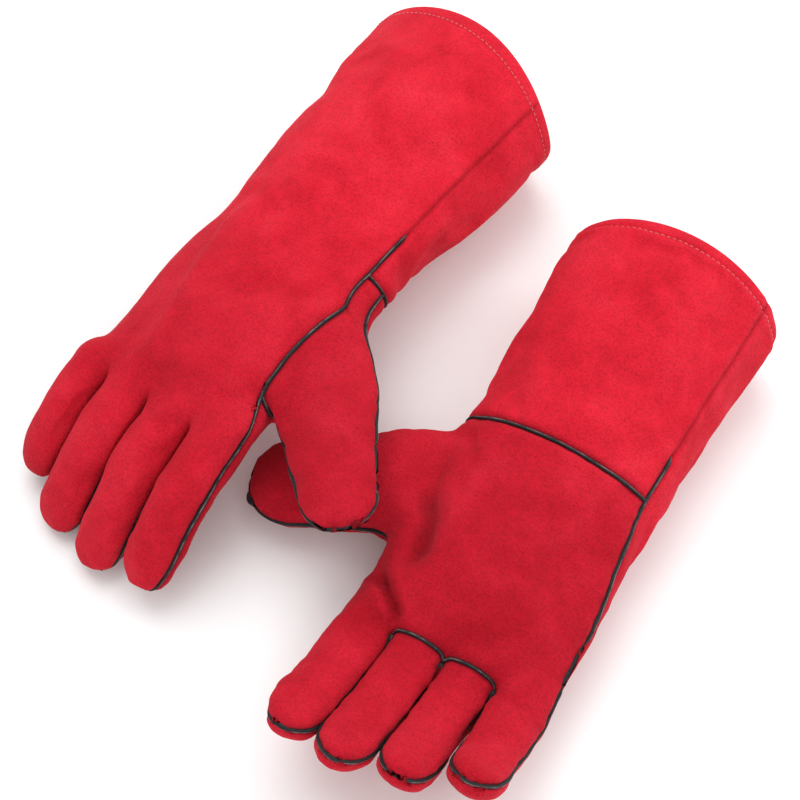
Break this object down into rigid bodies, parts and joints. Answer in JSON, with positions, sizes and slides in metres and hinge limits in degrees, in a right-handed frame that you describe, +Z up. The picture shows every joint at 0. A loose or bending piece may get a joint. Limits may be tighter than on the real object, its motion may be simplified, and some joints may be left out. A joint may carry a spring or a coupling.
{
  "type": "pair of welding gloves",
  "caption": "Two lined split-leather gauntlet gloves with welted seams, hinged digits and bending cuffs, one lying palm down and one palm up.",
  "frame": {"origin": "middle of the footprint of the pair, on the surface it lies on", "axes": "+Z up; the fingers of the palm-up glove point along -Y and its cuff opens along +Y"},
  "size_m": [0.318, 0.3957, 0.0843],
  "materials": {
    "suede": "brushed split cowhide with a fine nap",
    "welt": "thin folded leather welt, slightly glossy",
    "lining": "brushed cotton"
  },
  "bodies": {
    "palmdown_hand": {"palmdown_hand_back_leather": "suede", "palmdown_palm_leather": "suede", "palmdown_hand_lining": "lining", "palmdown_wrist_welt": "welt", "palmdown_finger_base_welt": "welt", "palmdown_hand_side_welts": "welt"},
    "palmdown_cuff": {"palmdown_cuff_back_leather": "suede", "palmdown_cuff_front_leather": "suede", "palmdown_cuff_lining": "lining", "palmdown_cuff_side_welts": "welt"},
    "palmdown_index": {"palmdown_index_back_leather": "suede", "palmdown_index_front_leather": "suede", "palmdown_index_lining": "lining", "palmdown_index_welt": "welt"},
    "palmdown_middle": {"palmdown_middle_back_leather": "suede", "palmdown_middle_front_leather": "suede", "palmdown_middle_lining": "lining", "palmdown_middle_welt": "welt"},
    "palmdown_ring": {"palmdown_ring_back_leather": "suede", "palmdown_ring_front_leather": "suede", "palmdown_ring_lining": "lining", "palmdown_ring_welt": "welt"},
    "palmdown_pinky": {"palmdown_pinky_back_leather": "suede", "palmdown_pinky_front_leather": "suede", "palmdown_pinky_lining": "lining", "palmdown_pinky_welt": "welt"},
    "palmdown_thumb": {"palmdown_thumb_back_leather": "suede", "palmdown_thumb_front_leather": "suede", "palmdown_thumb_lining": "lining", "palmdown_thumb_welt": "welt"},
    "palmup_hand": {"palmup_hand_back_leather": "suede", "palmup_palm_leather": "suede", "palmup_hand_lining": "lining", "palmup_wrist_welt": "welt", "palmup_finger_base_welt": "welt", "palmup_hand_side_welts": "welt"},
    "palmup_cuff": {"palmup_cuff_back_leather": "suede", "palmup_cuff_front_leather": "suede", "palmup_cuff_lining": "lining", "palmup_cuff_side_welts": "welt"},
    "palmup_index": {"palmup_index_back_leather": "suede", "palmup_index_front_leather": "suede", "palmup_index_lining": "lining", "palmup_index_welt": "welt"},
    "palmup_middle": {"palmup_middle_back_leather": "suede", "palmup_middle_front_leather": "suede", "palmup_middle_lining": "lining", "palmup_middle_welt": "welt"},
    "palmup_ring": {"palmup_ring_back_leather": "suede", "palmup_ring_front_leather": "suede", "palmup_ring_lining": "lining", "palmup_ring_welt": "welt"},
    "palmup_pinky": {"palmup_pinky_back_leather": "suede", "palmup_pinky_front_leather": "suede", "palmup_pinky_lining": "lining", "palmup_pinky_welt": "welt"},
    "palmup_thumb": {"palmup_thumb_back_leather": "suede", "palmup_thumb_front_leather": "suede", "palmup_thumb_lining": "lining", "palmup_thumb_welt": "welt"}
  },
  "joints": [
    {"name": "palmdown_wrist_bend", "type": "hinge", "parent": "palmdown_hand", "child": "palmdown_cuff", "pos_m": [-0.0852, 0.05, 0.0462], "axis": [0.9871, -0.1212, 0.1045], "range_deg": [-18, 18]},
    {"name": "palmdown_index_bend", "type": "hinge", "parent": "palmdown_hand", "child": "palmdown_index", "pos_m": [-0.05776, -0.07458, 0.05586], "axis": [0.9879, -0.1143, 0.1048], "range_deg": [-12, 45]},
    {"name": "palmdown_middle_bend", "type": "hinge", "parent": "palmdown_hand", "child": "palmdown_middle", "pos_m": [-0.08618, -0.07109, 0.05285], "axis": [0.9873, -0.1195, 0.1046], "range_deg": [-12, 45]},
    {"name": "palmdown_ring_bend", "type": "hinge", "parent": "palmdown_hand", "child": "palmdown_ring", "pos_m": [-0.11461, -0.0676, 0.04984], "axis": [0.9869, -0.1229, 0.1045], "range_deg": [-12, 45]},
    {"name": "palmdown_pinky_bend", "type": "hinge", "parent": "palmdown_hand", "child": "palmdown_pinky", "pos_m": [-0.14255, -0.06417, 0.04688], "axis": [0.9863, -0.1281, 0.1043], "range_deg": [-12, 45]},
    {"name": "palmdown_thumb_spread", "type": "hinge", "parent": "palmdown_hand", "child": "palmdown_thumb", "pos_m": [-0.03348, -0.01885, 0.05198], "axis": [-0.1086, -0.0271, 0.9937], "range_deg": [-10, 10]},
    {"name": "palmup_wrist_bend", "type": "hinge", "parent": "palmup_hand", "child": "palmup_cuff", "pos_m": [0.0966, 0.0068, 0.0319], "axis": [-1, 0, 0], "range_deg": [-18, 18]},
    {"name": "palmup_index_bend", "type": "hinge", "parent": "palmup_hand", "child": "palmup_index", "pos_m": [0.0534, -0.1132, 0.0219], "axis": [-1, 0.007, 0], "range_deg": [-12, 45]},
    {"name": "palmup_middle_bend", "type": "hinge", "parent": "palmup_hand", "child": "palmup_middle", "pos_m": [0.0822, -0.1132, 0.0219], "axis": [-1, 0.0017, 0], "range_deg": [-12, 45]},
    {"name": "palmup_ring_bend", "type": "hinge", "parent": "palmup_hand", "child": "palmup_ring", "pos_m": [0.111, -0.1132, 0.0219], "axis": [-1, -0.0017, 0], "range_deg": [-12, 45]},
    {"name": "palmup_pinky_bend", "type": "hinge", "parent": "palmup_hand", "child": "palmup_pinky", "pos_m": [0.1393, -0.1132, 0.0219], "axis": [-1, -0.007, 0], "range_deg": [-12, 45]},
    {"name": "palmup_thumb_spread", "type": "hinge", "parent": "palmup_hand", "child": "palmup_thumb", "pos_m": [0.0426, -0.0312, 0.0299], "axis": [0, 0, -1], "range_deg": [-15, 12]},
    {"name": "palmdown_glove_lift", "type": "slide", "parent": "palmup_hand", "child": "palmdown_hand", "axis": [0, 0, 1], "range_m": [0, 0.2]}
  ]
}
